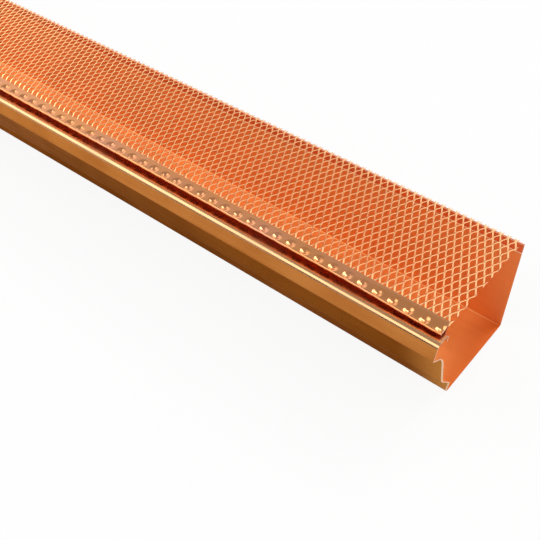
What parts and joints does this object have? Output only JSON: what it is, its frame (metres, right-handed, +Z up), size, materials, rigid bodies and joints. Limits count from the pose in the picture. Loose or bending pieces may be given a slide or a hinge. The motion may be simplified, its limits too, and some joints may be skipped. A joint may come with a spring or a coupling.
{
  "type": "gutter guard",
  "caption": "Length of copper ogee gutter covered by a flat diamond-mesh leaf guard, which a dimpled, folded lock strip holds on the gutter's front lip.",
  "frame": {"origin": "middle of the length and depth, on the plane that the flat bottom stands on", "axes": "+X along the gutter, +Y to the wall side, -Y to the ogee front, +Z up"},
  "size_m": [0.9204, 0.1302, 0.0966],
  "materials": {
    "gutter_copper": "bright rolled copper",
    "strip_copper": "bright rolled copper",
    "mesh_copper": "bright copper"
  },
  "bodies": {
    "root": {"gutter_trough": "gutter_copper", "lock_strip": "strip_copper", "mesh_panel_1": "mesh_copper", "mesh_panel_2": "mesh_copper", "mesh_panel_3": "mesh_copper", "mesh_panel_4": "mesh_copper", "mesh_panel_5": "mesh_copper", "mesh_panel_6": "mesh_copper", "mesh_panel_7": "mesh_copper"}
  },
  "joints": []
}
